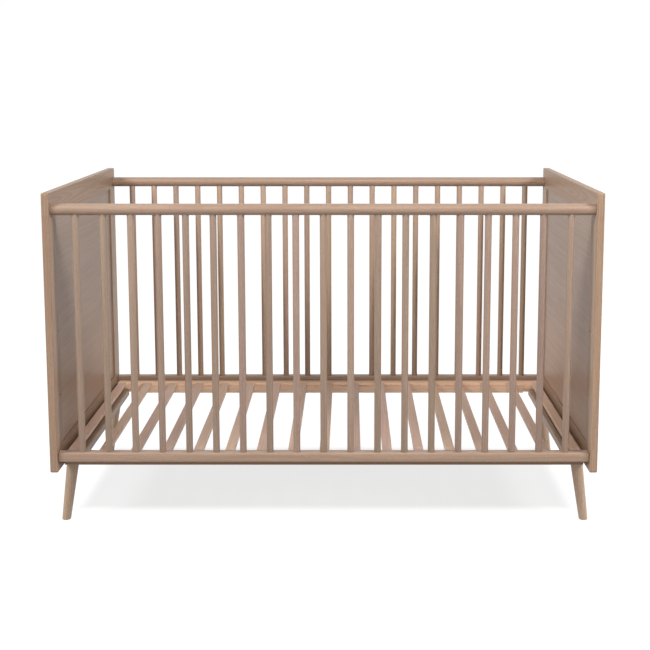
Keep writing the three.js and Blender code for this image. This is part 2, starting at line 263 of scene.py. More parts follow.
def tube(outer: float, inner: float, length: float, rim: Rounding, facets: int) -> Mesh:
    """Makes a round sleeve with broken rims, along Z about the origin.

    Args:
        outer: outside diameter.
        inner: inside diameter.
        length: from end to end.
        rim: how its rims are broken.
        facets: faces round the sleeve.

    Returns:
        The new shape.
    """
    mesh = bmesh.new()
    rims = [
        level_ring(mesh, facets, diameter / 2, height * length / 2)
        for diameter, height in ((outer, -1), (outer, 1), (inner, 1), (inner, -1))
    ]
    for first, second in zip(rims, rims[1:] + rims[:1]):
        bmesh.ops.bridge_loops(mesh, edges=first + second)
    rim.on(mesh, [edge for ring in rims for edge in ring])
    return mesh


def moved(mesh: Mesh, place: Vector, turn: Optional[Matrix] = None) -> Mesh:
    """Turns a shape about the origin and then moves it.

    Args:
        mesh: the shape.
        place: where its origin goes.
        turn: the rotation, if any.

    Returns:
        The same shape.
    """
    matrix = Matrix.Translation(place) @ (turn or Matrix.Identity(4))
    bmesh.ops.transform(mesh, matrix=matrix, verts=mesh.verts)
    return mesh


# ---------------------------------------------------------------- node graphs


class Graph:
    """A node tree with short calls that add nodes and join them."""

    def __init__(self, tree: bpy.types.NodeTree) -> None:
        """Keeps the tree that the calls add to."""
        self.tree = tree

    def feed(self, node: Node, fed: dict[int | str, object]) -> None:
        """Links a node's inputs to sockets, or sets their own values.

        Args:
            node: the node.
            fed: a socket or a value for each input, under the input's number or name.
        """
        for key, value in fed.items():
            if isinstance(value, Socket):
                self.tree.links.new(value, node.inputs[key])
            else:
                node.inputs[key].default_value = value

    def add(self, kind: str, fed: Optional[dict[int | str, object]] = None, **settings: object) -> Node:
        """Adds a node.

        Args:
            kind: the node's type.
            fed: what its inputs are fed.
            settings: its own properties.

        Returns:
            The new node.
        """
        node = self.tree.nodes.new(kind)
        for name, value in settings.items():
            setattr(node, name, value)
        self.feed(node, fed or {})
        return node

    def math(self, operation: str, first: object, second: object = 0.0, clamp: bool = False) -> Socket:
        """Adds a Math node for two sockets or numbers and returns its result."""
        fed = {0: first, 1: second}
        return self.add("ShaderNodeMath", fed, operation=operation, use_clamp=clamp).outputs[0]

    def product(self, *factors: object) -> Socket:
        """Multiplies sockets or numbers and returns the result."""
        return reduce(lambda first, second: self.math("MULTIPLY", first, second), factors)

    def vector(self, operation: str, first: object, second: object) -> Socket:
        """Adds a Vector Math node for two sockets or triples and returns the resulting vector."""
        return self.add("ShaderNodeVectorMath", {0: first, 1: second}, operation=operation).outputs[0]

    def mix(self, share: object, first: object, second: object, blend: str = "MIX") -> Socket:
        """Lays a share of a second colour over a first one and returns the mixed colour."""
        fed = {0: share, 6: first, 7: second}
        return self.add("ShaderNodeMix", fed, data_type="RGBA", blend_type=blend).outputs[2]

    def tint(self, colour: object, tint: object) -> Socket:
        """Multiplies a colour by a tint and returns the tinted colour."""
        return self.mix(1.0, colour, tint, "MULTIPLY")

    def blend(self, share: object, first: object, second: object) -> Socket:
        """Mixes a share of a second number with a first one and returns the mixed number."""
        return self.add("ShaderNodeMix", {0: share, 2: first, 3: second}, data_type="FLOAT").outputs[0]

    def remap(self, value: object, span: Span, to: Span = WHOLE) -> Socket:
        """Carries a number from one span over to another, smoothly and clamped, and returns it."""
        fed = dict(enumerate((value, *span, *to)))
        return self.add("ShaderNodeMapRange", fed, interpolation_type="SMOOTHSTEP", clamp=True).outputs[0]

    def place(self, kind: str = "Object") -> Socket:
        """Returns the place of each point of the surface, or another of its coordinates."""
        return self.add("ShaderNodeTexCoord").outputs[kind]

    def split(self, vector: Socket) -> tuple[Socket, ...]:
        """Returns a vector's three numbers."""
        return tuple(self.add("ShaderNodeSeparateXYZ", {0: vector}).outputs)

    def group(self, tree: bpy.types.NodeTree, fed: dict[str, object]) -> bpy.types.NodeOutputs:
        """Places a node group, feeds its inputs and returns its outputs."""
        return self.add("ShaderNodeGroup", fed, node_tree=tree).outputs


@dataclass(frozen=True)
class Noise:
    """A noise that may be drawn out along the grain.

    Attributes:
        along: cycles to the metre along the grain.
        across: cycles to the metre across it.
        detail: octaves.
        roughness: how strong the finer octaves are.
    """

    along: float
    across: float
    detail: float
    roughness: float = 0.5

    def over(self, graph: Graph, place: Socket) -> Socket:
        """Adds the noise to a graph.

        Args:
            graph: the graph.
            place: where the noise is read, with the grain along X.

        Returns:
            Its value, about 0.5.
        """
        drawn = graph.vector("MULTIPLY", place, (self.along, self.across, self.across))
        fed = {"Vector": drawn, "Scale": 1.0, "Detail": self.detail, "Roughness": self.roughness}
        return graph.add("ShaderNodeTexNoise", fed, noise_dimensions="3D").outputs[0]


def new_group(
    name: str, inputs: dict[str, str], outputs: dict[str, str],
) -> tuple[Graph, bpy.types.NodeOutputs, Node]:
    """Starts a shader node group.

    Args:
        name: the group's name.
        inputs: the kind of each input, under its name.
        outputs: the kind of each output, under its name.

    Returns:
        The group's graph, what it is given, and the node that its results are fed to.
    """
    tree = bpy.data.node_groups.new(name, "ShaderNodeTree")
    for way, sockets in (("INPUT", inputs), ("OUTPUT", outputs)):
        for label, kind in sockets.items():
            tree.interface.new_socket(name=label, in_out=way, socket_type=f"NodeSocket{kind}")
    graph = Graph(tree)
    return graph, graph.add("NodeGroupInput").outputs, graph.add("NodeGroupOutput")


# ---------------------------------------------------------------- the patterns of wood

RING_SWAY = Noise(1.7, 11.0, 1.0)  # the slow wander of the growth rings along a board
RING_RIPPLE = Noise(9.0, 60.0, 2.0)  # their small waves
RIPPLE_REACH = 0.9  # how far, in rings, the small waves go
RING_DARKENS: Span = (0.12, 0.86)  # the part of a ring in which the wood grows darker
RING_PALES: Span = (0.9, 1.0)  # the part in which it turns pale again
FIBRE_PATTERNS = {  # what runs with the grain, and the part of each noise that shows
    "Drift": (Noise(1.6, 13.0, 1.0), (0.28, 0.72)),
    "Streaks": (Noise(3.2, 190.0, 2.0, 0.6), (0.3, 0.7)),
    "Fibres": (Noise(14.0, 1100.0, 2.0, 0.6), (0.3, 0.7)),
    "Pores": (Noise(95.0, 1700.0, 1.0), (0.6, 0.68)),
}
LEVELS = {  # how far each pattern dims and lifts the colour
    "Drift": (0.965, 1.03),
    "Tone": (0.88, 1.08),
    "Fibres": (0.955, 1.035),
}
PINKISH: Colour = (1.0, 0.975, 1.015, 1.0)  # the tints between which boards differ
YELLOWISH: Colour = (1.0, 1.015, 0.955, 1.0)
TINT_TURNS = 8.0  # how often the tint goes from the one to the other over all tones
LATE_WOOD_PORES = 0.25  # the share of the pores that late wood has
FIBRE_GLOSS: Span = (0.44, 0.54)  # roughness between the fibres and on them
PORE_ROUGHNESS = 0.25  # what an open pore adds to it
FIBRE_RELIEF = 0.35  # how far the fibres stand up, beside the depth of a pore
RING_RELIEF = 0.4  # the same for late wood


@cache
def growth_rings_group() -> bpy.types.NodeTree:
    """Makes the growth rings that a saw cuts through: loops on a flat-sawn face, lines at its edges.

    Returns:
        A group that takes a place with the grain along X and the heart on the X axis, rings to the
        metre and their waviness, and gives Rings, from 0 in early wood to 1 in late wood.
    """
    inputs = {"Vector": "Vector", "Rings per metre": "Float", "Waviness": "Float"}
    graph, given, end = new_group("Growth rings", inputs, {"Rings": "Float"})
    place = given["Vector"]
    beside_heart = graph.vector("MULTIPLY", place, (0.0, 1.0, 1.0))
    radius = graph.add("ShaderNodeVectorMath", {0: beside_heart}, operation="LENGTH").outputs["Value"]
    sway = graph.product(graph.math("SUBTRACT", RING_SWAY.over(graph, place), 0.5), given["Waviness"])
    ripple = graph.product(graph.math("SUBTRACT", RING_RIPPLE.over(graph, place), 0.5), RIPPLE_REACH)
    count = graph.product(radius, given["Rings per metre"])
    ring = graph.math("FRACT", graph.math("ADD", graph.math("ADD", count, sway), ripple))
    dark = graph.product(graph.remap(ring, RING_DARKENS), graph.remap(ring, RING_PALES, (1.0, 0.0)))
    graph.feed(end, {"Rings": dark})
    return graph.tree


@cache
def fibre_group() -> bpy.types.NodeTree:
    """Makes what runs with the grain at every size.

    Returns:
        A group that takes a place with the grain along X and gives Drift, the slow change along a
        board, Streaks some millimetres wide, Fibres under a millimetre wide, and Pores, the short
        open vessels.
    """
    outputs = dict.fromkeys(FIBRE_PATTERNS, "Float")
    graph, given, end = new_group("Wood fibre", {"Vector": "Vector"}, outputs)
    for name, (noise, shown) in FIBRE_PATTERNS.items():
        graph.feed(end, {name: graph.remap(noise.over(graph, given["Vector"]), shown)})
    return graph.tree


@cache
def piece_tone_group() -> bpy.types.NodeTree:
    """Makes one tone for each of a row of like pieces.

    Returns:
        A group that takes a place and the spacing of the pieces along each axis, and gives Tone,
        from 0 to 1 and the same all over a piece.
    """
    inputs = {"Vector": "Vector", "Spacing": "Vector"}
    graph, given, end = new_group("Piece tone", inputs, {"Tone": "Float"})
    half = graph.vector("MULTIPLY", given["Spacing"], (0.5, 0.5, 0.5))
    cell = graph.vector("SNAP", graph.vector("ADD", given["Vector"], half), given["Spacing"])
    draw = graph.add("ShaderNodeTexWhiteNoise", {"Vector": cell}, noise_dimensions="3D")
    graph.feed(end, {"Tone": draw.outputs["Value"]})
    return graph.tree


@cache
def oak_colour_group() -> bpy.types.NodeTree:
    """Lays rings, streaks, fibres and pores over each other.

    Returns:
        A group that gives Color, Roughness and Height.
    """
    numbers = ("Rings", *FIBRE_PATTERNS, "Tone", "Ring depth", "Streak depth", "Pore depth")
    colours = ("Early wood", "Late wood", "Pore")
    graph, given, end = new_group(
        "Oak colour",
        {**dict.fromkeys(numbers, "Float"), **dict.fromkeys(colours, "Color")},
        {"Color": "Color", "Roughness": "Float", "Height": "Float"},
    )
    late = graph.product(given["Rings"], given["Ring depth"])
    streaked = graph.product(given["Streaks"], given["Streak depth"])
    darkened = graph.math("ADD", late, streaked, clamp=True)
    wood = graph.mix(darkened, given["Early wood"], given["Late wood"])
    level = graph.product(*(graph.remap(given[name], WHOLE, levels) for name, levels in LEVELS.items()))
    warmth = graph.math("FRACT", graph.product(given["Tone"], TINT_TURNS))
    toned = graph.tint(graph.tint(wood, graph.mix(warmth, PINKISH, YELLOWISH)), level)
    open_wood = graph.remap(given["Rings"], WHOLE, (1.0, LATE_WOOD_PORES))
    pores = graph.product(given["Pores"], open_wood, given["Pore depth"])
    gloss = graph.remap(given["Fibres"], WHOLE, FIBRE_GLOSS)
    raised = graph.math("ADD", graph.product(given["Fibres"], FIBRE_RELIEF), graph.product(late, RING_RELIEF))
    graph.feed(end, {
        "Color": graph.mix(pores, toned, given["Pore"]),
        "Roughness": graph.math("ADD", gloss, graph.product(pores, PORE_ROUGHNESS)),
        "Height": graph.math("SUBTRACT", raised, pores),
    })
    return graph.tree


# ---------------------------------------------------------------- finishes

WIDE = 9.0  # a spacing along an axis that parts no pieces


@dataclass(frozen=True)
class Relief:
    """How far a texture stands out.

    Attributes:
        strength: the share of it that shows.
        depth: from its low spots to its high ones.
    """

    strength: float
    depth: float


class Skin:
    """A material in the making."""

    def __init__(self, name: str) -> None:
        """Starts the material.

        Args:
            name: its name.
        """
        self.material = bpy.data.materials.new(name)
        self.material.use_nodes = True
        self.graph = Graph(self.material.node_tree)

    def finished(
        self, colour: Socket, rough: Socket, height: Socket, relief: Relief, levels: dict[str, float],
    ) -> Material:
        """Joins the surface to the shader.

        Args:
            colour: its colour.
            rough: its roughness.
            height: the height of its texture.
            relief: how far the texture stands out.
            levels: values for other inputs of the shader, under their names.

        Returns:
            The finished material.
        """
        fed = {"Strength": relief.strength, "Distance": relief.depth, "Height": height}
        normal = self.graph.add("ShaderNodeBump", fed).outputs["Normal"]
        surface = {"Base Color": colour, "Roughness": rough, "Normal": normal}
        self.graph.feed(self.material.node_tree.nodes["Principled BSDF"], {**surface, **levels})
        return self.material


@dataclass(frozen=True)
class GrainRun:
    """How one board was sawn.

    Attributes:
        grain: which way the fibres run.
        heart: a point on the line that the growth rings go round.
        spacing: distance between like pieces along each axis, for a tone for each.
        tone: from 0, the darkest board, to 1, the palest, or None for the tone drawn by place.
    """

    grain: Grain
    heart: Vector
    spacing: tuple[float, float, float] = (WIDE, WIDE, WIDE)
    tone: Optional[float] = None


@dataclass(frozen=True)
class Zone:
    """A part of a piece, told by its place or by the way it faces.

    Attributes:
        beyond: distance from the crib's middle line, across it, past which the zone starts.
        below: height under which the zone lies, or None for any height.
        facing: the least share of a face's direction that looks to the front or the rear, for a
            zone told by the way it faces instead.
    """

    beyond: float = 0.0
    below: Optional[float] = None
    facing: Optional[float] = None

    def mask(self, graph: Graph) -> Socket:
        """Adds the zone's mask to a material.

        Args:
            graph: the material's graph.

        Returns:
            1 inside the zone and 0 outside.
        """
        if self.facing is not None:
            _, across, _ = graph.split(graph.place("Normal"))
            return graph.math("GREATER_THAN", graph.math("ABSOLUTE", across), self.facing)
        _, across, height = graph.split(graph.place())
        inside = graph.math("GREATER_THAN", graph.math("ABSOLUTE", across), self.beyond)
        if self.below is None:
            return inside
        return graph.product(inside, graph.math("LESS_THAN", height, self.below))


EDGE_FACES = Zone(facing=0.7)  # the faces that look to the front and the rear


@dataclass(frozen=True)
class Inlay:
    """The boards inside a zone of a piece.

    Attributes:
        zone: where they are.
        run: how they were sawn.
        finish: their own finish, or None for that of the rest of the piece.
    """

    zone: Zone
    run: GrainRun
    finish: "Optional[OakFinish]" = None


@dataclass(frozen=True)
class Stain:
    """A painted shade that darkens the wood inside a zone, where a real shadow falls.

    Attributes:
        zone: where the shade is painted.
        tint: the colour of the painted shade, which multiplies the wood's.
    """

    zone: Zone
    tint: str = "a2998f"

    def over(self, graph: Graph, colour: Socket) -> Socket:
        """Lays the painted shade over a wood's colour and returns the darkened colour."""
        return graph.mix(self.zone.mask(graph), colour, graph.tint(colour, srgb(self.tint)))


@dataclass(frozen=True)
class Fading:
    """Painted light on a panel: a warm bounce painted at its foot, turning to a cooler grey at its top.

    Attributes:
        heights: between which the one tint turns into the other.
        warm: the painted warm bounce light that multiplies the wood's colour at the foot.
        grey: the cooler tint that multiplies it at the top.
    """

    heights: Span = (0.3, 0.62)
    warm: str = "fffaf0"
    grey: str = "f0f9ff"

    def over(self, graph: Graph, colour: Socket) -> Socket:
        """Lays the painted light over a wood's colour.

        Args:
            graph: the material's graph.
            colour: the wood's colour.

        Returns:
            The changed colour.
        """
        _, _, height = graph.split(graph.place())
        share = graph.remap(height, self.heights)
        return graph.tint(colour, graph.mix(share, srgb(self.warm), srgb(self.grey)))


@dataclass(frozen=True)
class OakFinish:
    """Lacquered oak.

    Attributes:
        early: the colour of its early wood.
        late: the colour of its late wood.
        pore: the colour of its open pores.
        ring_depth: how far the growth rings darken it.
        streak_depth: how far the streaks darken it.
        rings_per_metre: growth rings to the metre.
        pore_depth: how dark the open pores are.
        waviness: how far, in rings, the rings wander along a board.
        relief: of its grain.
        specular: strength of the bare wood's shine.
        lacquer: weight of the clear lacquer over the wood.
        lacquer_roughness: how much the lacquer spreads what it mirrors.
        bloom: weight of the pale sheen where the surface turns away.
        bloom_roughness: how widely the sheen spreads.
    """

    early: str
    late: str
    pore: str
    ring_depth: float = 0.3
    streak_depth: float = 0.3
    rings_per_metre: float = 160.0
    pore_depth: float = 0.5
    waviness: float = 9.0
    relief: Relief = Relief(0.35, 0.2 * MM)
    specular: float = 0.35
    lacquer: float = 0.5
    lacquer_roughness: float = 0.27
    bloom: float = 0.0
    bloom_roughness: float = 0.35

    def surface(self, graph: Graph, run: GrainRun) -> bpy.types.NodeOutputs:
        """Adds the wood's colour, gloss and relief to a material.

        Args:
            graph: the material's graph.
            run: how the board was sawn.

        Returns:
            Color, Roughness and Height.
        """
        place = graph.place()
        turn = run.grain.turn()
        laying = {"Vector": place, "Rotation": turn.to_euler(), "Location": -(turn @ run.heart)}
        laid = graph.add("ShaderNodeMapping", laying, vector_type="POINT").outputs["Vector"]
        sawn = {"Vector": laid, "Rings per metre": self.rings_per_metre, "Waviness": self.waviness}
        fibre = graph.group(fibre_group(), {"Vector": laid})
        tone = run.tone
        if tone is None:
            tone = graph.group(piece_tone_group(), {"Vector": place, "Spacing": run.spacing})["Tone"]
        return graph.group(oak_colour_group(), {
            **{name: fibre[name] for name in FIBRE_PATTERNS},
            "Rings": graph.group(growth_rings_group(), sawn)["Rings"],
            "Tone": tone,
            "Ring depth": self.ring_depth,
            "Streak depth": self.streak_depth,
            "Pore depth": self.pore_depth,
            "Early wood": srgb(self.early),
            "Late wood": srgb(self.late),
            "Pore": srgb(self.pore),
        })

    def material(
        self, name: str, run: GrainRun, inlay: Optional[Inlay] = None, stain: Optional[Stain | Fading] = None,
    ) -> Material:
        """Makes a material of this oak.

        Args:
            name: the material's name.
            run: how the board was sawn.
            inlay: other boards in a part of the piece.
            stain: a painted shade or a painted warm bounce over the piece.

        Returns:
            The new material.
        """
        skin = Skin(name)
        graph = skin.graph
        wood = self.surface(graph, run)
        colour, rough, height = (wood[output] for output in ("Color", "Roughness", "Height"))
        if inlay:
            mask = inlay.zone.mask(graph)
            second = (inlay.finish or self).surface(graph, inlay.run)
            colour = graph.mix(mask, colour, second["Color"])
            rough = graph.blend(mask, rough, second["Roughness"])
            height = graph.blend(mask, height, second["Height"])
        # painted shade or painted bounce light laid over the wood's colour
        if stain:
            colour = stain.over(graph, colour)
        return skin.finished(colour, rough, height, self.relief, {
            "Specular IOR Level": self.specular,
            "Coat Weight": self.lacquer,
            "Coat Roughness": self.lacquer_roughness,
            "Sheen Weight": self.bloom,
            "Sheen Roughness": self.bloom_roughness,
        })


@dataclass(frozen=True)
class FittingFinish:
    """Metal or plastic with a cloudy tint and a fine texture.

    Attributes:
        tint: its colour.
        cloud_tint: its colour in the clouds.
        cloud: the noise that draws the clouds.
        texture: the noise that draws the marks of turning or moulding.
        roughness: between the marks and on them.
        relief: of the marks.
        metallic: 1 for metal and 0 for plastic.
        marked: the part of the texture's noise that shows.
    """

    tint: str
    cloud_tint: str
    cloud: Noise
    texture: Noise
    roughness: Span
    relief: Relief
    metallic: float
    marked: Span = (0.3, 0.7)

    def material(self, name: str) -> Material:
        """Makes a material of this metal or plastic.

        Args:
            name: the material's name.

        Returns:
            The new material.
        """
        skin = Skin(name)
        place = skin.graph.place()
        marks = self.texture.over(skin.graph, place)
        clouds = self.cloud.over(skin.graph, place)
        colour = skin.graph.mix(clouds, srgb(self.tint), srgb(self.cloud_tint))
        rough = skin.graph.remap(marks, self.marked, self.roughness)
        return skin.finished(colour, rough, marks, self.relief, {"Metallic": self.metallic})


# each oak's early wood, late wood and pores, and what sets it apart from the others
FRAME_OAK = OakFinish("a68974", "876a56", "5a4333", ring_depth=0.45, rings_per_metre=260.0, lacquer=0.15)
PANEL_OAK = OakFinish(
    "b09384", "977b6a", "695142", ring_depth=0.22, streak_depth=0.4, rings_per_metre=240.0, lacquer=0.1,
)
RAIL_OAK = OakFinish(
    "a58977", "8b6f5f", "5c4534", streak_depth=0.35, lacquer=0.3, lacquer_roughness=0.4, bloom=0.45,
)
# the rear copy is paler than the front one: painted light that makes up for the shade on the rear side
SPINDLE_OAK = {
    Side.FRONT: OakFinish("9e8675", "856d5c", "5f4938", ring_depth=0.25),
    Side.REAR: OakFinish("ab907b", "907560", "634b38", ring_depth=0.25),
}
LEG_OAK = OakFinish("bda08a", "a1836c", "624b3a", streak_depth=0.35)
# the rails' and ledgers' paler copy of the slat timber: painted light that lifts the shade on their inner
# faces
BASE_TIMBER = OakFinish("efcab0", "dab296", "967863", rings_per_metre=140.0, lacquer=0.1)
# pale timber, written paler still to make up for the shade over the deck: partly its own colour, partly
# painted light
SLAT_TIMBER = OakFinish("eac7b1", "d2ad95", "967863", rings_per_metre=140.0, lacquer=0.1)
STEEL = FittingFinish(
    tint="a8a49e", cloud_tint="8b8680", roughness=(0.28, 0.44), metallic=1.0,
    cloud=Noise(160.0, 160.0, 3.0), texture=Noise(2600.0, 2600.0, 2.0), relief=Relief(0.2, 0.05 * MM),
)
NYLON = FittingFinish(
    tint="2b2826", cloud_tint="3a3633", roughness=(0.42, 0.6), metallic=0.0,
    cloud=Noise(120.0, 120.0, 2.0), texture=Noise(2200.0, 2200.0, 2.0), relief=Relief(0.3, 0.08 * MM),
)


# ---------------------------------------------------------------- showing pieces


def dress(node: str, material: Material) -> None:
    """Gives a frame node its finish.

    Args:
        node: the node, which is shown as it is.
        material: its finish.
    """
    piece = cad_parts[node]
    piece.data.materials.clear()
    piece.data.materials.append(material)
    log.info("dressed %s", node)


def mount(
    mesh: Mesh, name: str, material: Material, body: str,
    stands_for: Optional[str] = None, smooth: bool = True,
) -> None:
    """Shows a finished shape as a piece at the origin and lets it ride on a body.

    Args:
        mesh: the shape, in its place in the crib. It is freed.
        name: the piece's name.
        material: its finish.
        body: the body that carries it.
        stands_for: the frame node that it replaces.
        smooth: whether its blunt edges are shaded smooth.
    """
    bmesh.ops.remove_doubles(mesh, verts=mesh.verts, dist=MERGE)
    bmesh.ops.recalc_face_normals(mesh, faces=mesh.faces)
    data = bpy.data.meshes.new(name)
    mesh.to_mesh(data)
    mesh.free()
    if smooth:
        data.shade_smooth()
        data.set_sharp_from_angle(angle=SMOOTH_ANGLE)
    data.materials.append(material)
    piece = show(name, data)
    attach(piece, body)
    if stands_for:
        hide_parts(stands_for)
    log.info("built %s with %d faces", name, len(data.polygons))


# ---------------------------------------------------------------- fastenings


@dataclass(frozen=True)
class SocketBolt:
    """A low-headed furniture bolt with a hexagon socket.

    Attributes:
        head_diameter: across the head.
        head_height: of the head above the wood.
        rim: how the head's rims are rounded.
        key_width: across the flats of the socket.
        key_depth: of the socket.
        shank_diameter: of the threaded shank.
        facets: faces round the head.
    """

    head_diameter: float = 17 * MM
    head_height: float = 2.2 * MM
    rim: Rounding = Rounding(0.9 * MM, 4)
    key_width: float = 5 * MM
    key_depth: float = 1.6 * MM
    shank_diameter: float = 6 * MM
    facets: int = 48

    def shape(self, grip: float) -> Mesh:
        """Makes the bolt with the underside of its head at the origin and its head towards +Z.

        Args:
            grip: length of the shank.

        Returns:
            The new shape, one closed body.
        """
        mesh = turned_bar(self.head_diameter, self.head_height, self.rim, self.facets)
        bmesh.ops.translate(mesh, verts=mesh.verts, vec=(0, 0, self.head_height / 2))
        self.grow_shank(mesh, grip)
        self.sink_socket(mesh)
        return mesh

    def grow_shank(self, mesh: Mesh, grip: float) -> None:
        """Extrudes the shank from the underside of the head.

        Args:
            mesh: the head.
            grip: length of the shank.
        """
        under = min(mesh.faces, key=lambda face: face.calc_center_median().z)
        thickness = min(vert.co.to_2d().length for vert in under.verts) - self.shank_diameter / 2
        bmesh.ops.inset_individual(mesh, faces=[under], thickness=thickness)
        grown = bmesh.ops.extrude_discrete_faces(mesh, faces=[under])["faces"][0]
        bmesh.ops.translate(mesh, verts=grown.verts, vec=(0, 0, -grip))

    def sink_socket(self, mesh: Mesh) -> None:
        """Cuts the hexagon socket into the top of the head.

        Args:
            mesh: the bolt.
        """
        top = max(mesh.faces, key=lambda face: face.calc_center_median().z)
        rim = list(top.edges)
        bmesh.ops.delete(mesh, geom=[top], context="FACES_ONLY")
        key = level_ring(mesh, 6, self.key_width / math.sqrt(3), self.head_height)
        bmesh.ops.bridge_loops(mesh, edges=rim + key)
        sunk = bmesh.ops.extrude_edge_only(mesh, edges=key)["geom"]
        verts = [item for item in sunk if isinstance(item, bmesh.types.BMVert)]
        bmesh.ops.translate(mesh, verts=verts, vec=(0, 0, -self.key_depth))
        bmesh.ops.edgeloop_fill(mesh, edges=edges_in(sunk))


# ---------------------------------------------------------------- end frames


@dataclass(frozen=True)
class EndFrame:
    """One framed end panel with the bolts that hold the side rails to it.

    Attributes:
        end: which end it is.
        tone: of its boards, from 0, the darkest, to 1.
        heart_depth: of the growth rings' middle behind the face that looks into the crib.
        lipping_heart_depth: the same for the lippings on the front and rear edges.
        inset_heart_depth: the same for the inset panel.
        tongue_thickness: of the tongue down the middle of a stile.
        hole_diameter: of the bolt holes.
        settings: heights at which the mattress base can be bolted.
        setting_step: from one of them to the next.
        bolt: the connector bolts.
        bolt_reach: length of a bolt's shank past the frame.
    """

    end: End
    tone: float
    heart_depth: float = 17 * MM
    lipping_heart_depth: float = 260 * MM
    inset_heart_depth: float = 45 * MM
    tongue_thickness: float = 10 * MM
    hole_diameter: float = 7 * MM
    settings: int = 3
    setting_step: float = 174 * MM
    bolt: SocketBolt = SocketBolt()
    bolt_reach: float = 30 * MM

    def build(self) -> None:
        """Dresses the members and adds the bolts."""
        label = self.end.label
        for member in ("top_rail", "bottom_rail"):
            node = f"{label}_end_{member}"
            dress(node, self.member_material(node, Grain.CROSSWISE))
        for member in ("front_stile", "rear_stile"):
            self.build_stile(f"{label}_end_{member}")
        panel = f"{label}_end_inset_panel"
        run = self.sawn(panel, Grain.CROSSWISE, self.inset_heart_depth)
        # a warm glow painted at the foot of the inset panel, standing in for light bounced off the mattress
        # base
        dress(panel, PANEL_OAK.material(f"{panel}_oak", run, stain=Fading()))
        self.add_bolts(STEEL.material(f"{label}_bolt_steel"))

    def sawn(self, node: str, grain: Grain, depth: float) -> GrainRun:
        """Says how a member was sawn.

        Args:
            node: the member's frame node.
            grain: which way its fibres run.
            depth: from its middle outwards to the middle of its growth rings.

        Returns:
            The run of its grain.
        """
        return GrainRun(grain, centre_of(node) + Vector((self.end.value * depth, 0, 0)), tone=self.tone)

    def member_material(self, node: str, grain: Grain) -> Material:
        """Makes the finish of a rail or a stile, with an upright lipping on its front and rear.

        Args:
            node: the member's frame node.
            grain: which way its fibres run.

        Returns:
            The new material.
        """
        face = self.sawn(node, grain, self.heart_depth)
        lipping = Inlay(EDGE_FACES, self.sawn(node, Grain.UPRIGHT, self.lipping_heart_depth))
        return FRAME_OAK.material(f"{node}_oak", face, lipping)

    def build_stile(self, node: str) -> None:
        """Shows a copy of a stile with its upper bolt holes bored right through.

        Args:
            node: the stile's frame node.
        """
        mesh = bmesh.new()
        mesh.from_mesh(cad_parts[node].data)
        bmesh.ops.remove_doubles(mesh, verts=mesh.verts, dist=MERGE)
        lowest = centre_of("base_frame").z
        for setting in range(1, self.settings):
            self.bore_through(mesh, centre_of(node).x, lowest + setting * self.setting_step)
        material = self.member_material(node, Grain.UPRIGHT)
        mount(mesh, f"{node}_bored", material, CRIB, node, smooth=False)

    def bore_through(self, mesh: Mesh, middle: float, height: float) -> None:
        """Takes the tongue out of a bolt hole and joins the hole's two halves.

        Args:
            mesh: the stile.
            middle: of the stile's thickness, along the crib.
            height: of the hole.
        """
        reach = self.tongue_thickness / 2
        radius = self.hole_diameter / 2 + JOINT_GAP
        plug = [
            face for face in mesh.faces
            if all(abs(abs(vert.co.x - middle) - reach) < IN_PLANE for vert in face.verts)
            and all(abs(vert.co.z - height) < radius for vert in face.verts)
        ]
        bmesh.ops.delete(mesh, geom=plug, context="FACES")
        bmesh.ops.bridge_loops(mesh, edges=[edge for edge in mesh.edges if edge.is_boundary])

    def add_bolts(self, steel: Material) -> None:
        """Adds the bolts into the ends of the four side rails.

        Args:
            steel: what they are made of.
        """
        label = self.end.label
        outer = self.end.outer_face(f"{label}_end_top_rail")
        thickness = size_of(f"{label}_end_top_rail").x
        for side in Side:
            for rail in ("top_rail", "bottom_rail"):
                middle = centre_of(f"{side.label}_{rail}")
                bolt = self.bolt.shape(thickness + self.bolt_reach)
                moved(bolt, Vector((outer, middle.y, middle.z)), self.end.outward())
                mount(bolt, f"{label}_{side.label}_{rail}_bolt", steel, CRIB)


# ---------------------------------------------------------------- spindle sides


